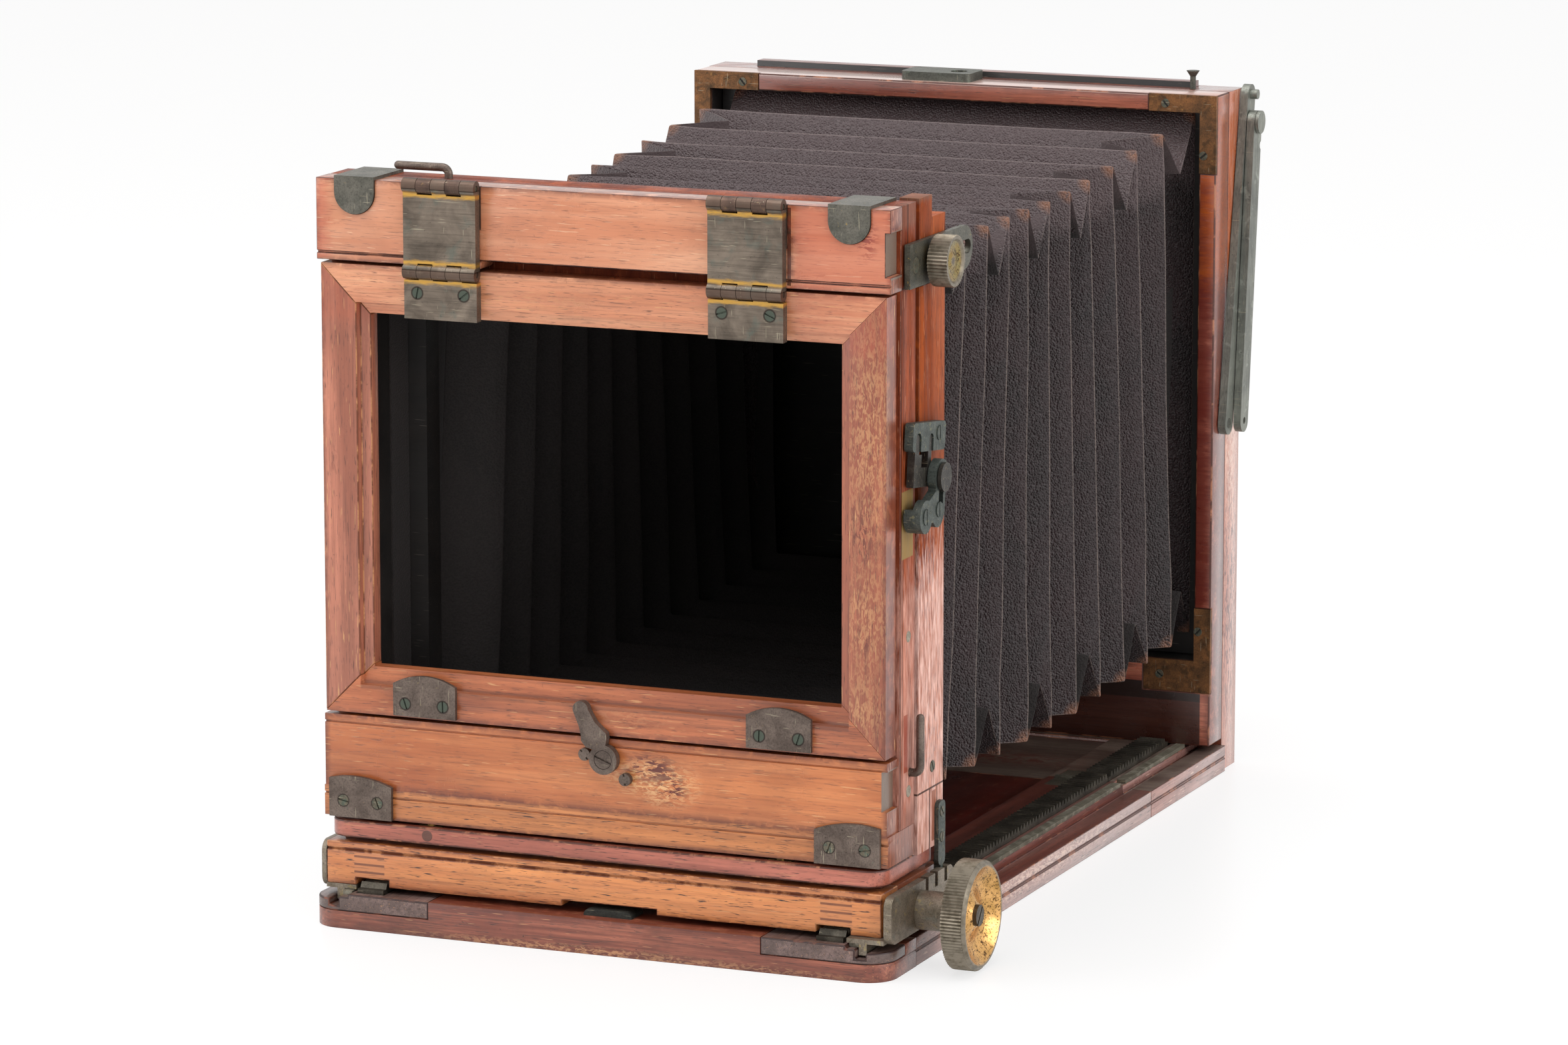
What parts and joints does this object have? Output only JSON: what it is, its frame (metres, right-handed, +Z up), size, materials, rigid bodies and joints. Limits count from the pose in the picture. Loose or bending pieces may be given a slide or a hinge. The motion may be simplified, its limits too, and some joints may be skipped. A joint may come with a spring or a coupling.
{
  "type": "tailboard camera",
  "caption": "Folding wooden plate camera with a racked tailboard, square bellows, hinged focusing-screen frame, tilting back, swing stay and rising front.",
  "frame": {"origin": "on the ground, on the middle plane, under the rear face of the back", "axes": "+X to the right seen from the focusing screen, +Y towards the lens, +Z up"},
  "size_m": [0.2276, 0.34, 0.2462],
  "materials": {
    "orange_wood": "french polished mahogany, orange brown",
    "red_wood": "french polished mahogany, red brown",
    "dark_wood": "dark red mahogany",
    "black_wood": "wood painted dull black",
    "tarnished_brass": "tarnished grey green",
    "worn_brass": "worn lacquered brass",
    "gilt_brass": "lacquered brass with brown specks",
    "dark_steel": "darkened with oil and age",
    "leather": "grained black leather"
  },
  "bodies": {
    "base": {"tail_end_rail": "red_wood", "tail_side_rails": "red_wood", "tail_panel": "dark_wood", "tail_clamps": "dark_wood", "tail_latch": "tarnished_brass", "racks": "dark_steel", "guide_strips": "worn_brass", "tail_hinges": "tarnished_brass", "front_bed": "red_wood", "tripod_bush": "worn_brass", "box_frame": "dark_wood", "box_corner_plates": "worn_brass", "front_frame": "red_wood", "box_catch": "tarnished_brass", "bellows_front_board": "black_wood", "bellows": "leather", "stay_stud": "tarnished_brass"},
    "rising_front": {"rising_panel": "dark_wood", "lens_board": "red_wood", "lens_flange": "worn_brass"},
    "board_button": {"lens_board_button": "tarnished_brass"},
    "stay_link": {"stay_inner": "tarnished_brass"},
    "stay_end_link": {"stay_outer": "tarnished_brass"},
    "carriage": {"carriage_rear_rail": "orange_wood", "carriage_rails": "orange_wood", "carriage_deck": "dark_wood", "bracket_right": "tarnished_brass", "bracket_left": "tarnished_brass", "sole_board": "red_wood", "swing_lugs": "worn_brass", "standard_frame": "orange_wood", "locating_strips": "tarnished_brass", "swing_studs": "worn_brass", "catch_keeper": "tarnished_brass", "catch_base": "tarnished_brass", "bellows_liner": "black_wood"},
    "focus_pinion": {"pinion_shaft": "dark_steel", "pinions": "worn_brass", "focus_knob": "gilt_brass"},
    "side_bolt": {"catch_bolt": "tarnished_brass"},
    "right_knob": {"swing_knob_right": "worn_brass"},
    "left_knob": {"swing_knob_left": "worn_brass"},
    "back": {"back_strip_frame": "red_wood", "lower_rail": "orange_wood", "bottom_board": "orange_wood", "top_board": "orange_wood", "corner_plates": "tarnished_brass", "corner_straps": "worn_brass", "upper_hinge_leaves": "tarnished_brass", "back_pins": "worn_brass", "button_screws": "tarnished_brass", "swing_sleeve": "leather"},
    "slotted_plates": {"swing_plates": "tarnished_brass"},
    "button": {"turn_button": "tarnished_brass"},
    "upper_pin": {"top_pin": "tarnished_brass"},
    "lower_pin": {"side_pin": "tarnished_brass"},
    "links": {"hinge_links": "tarnished_brass"},
    "screen": {"screen_frame": "red_wood", "screen_hinge_leaves": "tarnished_brass", "screen_clips": "tarnished_brass"}
  },
  "joints": [
    {"name": "focus_slide", "type": "slide", "parent": "base", "child": "carriage", "axis": [0, 1, 0], "range_m": [-0.015, 0.16], "deforming": ["bellows"]},
    {"name": "pinion_turn", "type": "hinge", "parent": "carriage", "child": "focus_pinion", "pos_m": [0, 0.0205, 0.0177], "axis": [1, 0, 0], "range_deg": [-2280, 220]},
    {"name": "back_swing", "type": "hinge", "parent": "carriage", "child": "back", "pos_m": [0, 0.004, 0.03745], "axis": [1, 0, 0], "range_deg": [0, 9.5], "deforming": ["swing_sleeve"]},
    {"name": "slotted_plate_turn", "type": "hinge", "parent": "back", "child": "slotted_plates", "pos_m": [0, 0.01555, 0.221], "axis": [1, 0, 0], "range_deg": [-9.5, 0]},
    {"name": "right_knob_turn", "type": "hinge", "parent": "carriage", "child": "right_knob", "pos_m": [0.103, 0.0286, 0.2209], "axis": [1, 0, 0], "range_deg": [-180, 180]},
    {"name": "left_knob_turn", "type": "hinge", "parent": "carriage", "child": "left_knob", "pos_m": [-0.103, 0.0286, 0.2209], "axis": [1, 0, 0], "range_deg": [-180, 180]},
    {"name": "links_swing", "type": "hinge", "parent": "back", "child": "links", "pos_m": [0, -0.0026, 0.23935], "axis": [1, 0, 0], "range_deg": [-180, 0]},
    {"name": "screen_swing", "type": "hinge", "parent": "links", "child": "screen", "pos_m": [0, -0.0026, 0.2123], "axis": [1, 0, 0], "range_deg": [-90, 0]},
    {"name": "button_turn", "type": "hinge", "parent": "back", "child": "button", "pos_m": [0.0017, 0, 0.0617], "axis": [0, 1, 0], "range_deg": [0, 105]},
    {"name": "side_bolt_slide", "type": "slide", "parent": "carriage", "child": "side_bolt", "axis": [0, 0.1219, 0.9925], "range_m": [-0.0063, 0]},
    {"name": "upper_pin_lift", "type": "slide", "parent": "back", "child": "upper_pin", "axis": [0, 0, 1], "range_m": [0, 0.009]},
    {"name": "lower_pin_pull", "type": "slide", "parent": "back", "child": "lower_pin", "axis": [1, 0, 0], "range_m": [0, 0.009]},
    {"name": "stay_turn", "type": "hinge", "parent": "base", "child": "stay_link", "pos_m": [0.099, 0.3085, 0.12495], "axis": [-1, 0, 0], "range_deg": [-100, 0]},
    {"name": "stay_elbow", "type": "hinge", "parent": "stay_link", "child": "stay_end_link", "pos_m": [0.102, 0.32688, 0.22813], "axis": [-1, 0, 0], "range_deg": [-130, 0]},
    {"name": "front_rise", "type": "slide", "parent": "base", "child": "rising_front", "axis": [0, 0, 1], "range_m": [0, 0.028]},
    {"name": "board_button_turn", "type": "hinge", "parent": "rising_front", "child": "board_button", "pos_m": [0, 0.326, 0.18908], "axis": [0, 1, 0], "range_deg": [-90, 90]}
  ],
  "couplings": [
    {"joint": "pinion_turn", "follows": "focus_slide", "rad_per_m": -246.91},
    {"joint": "slotted_plate_turn", "follows": "back_swing", "ratio": -1}
  ]
}
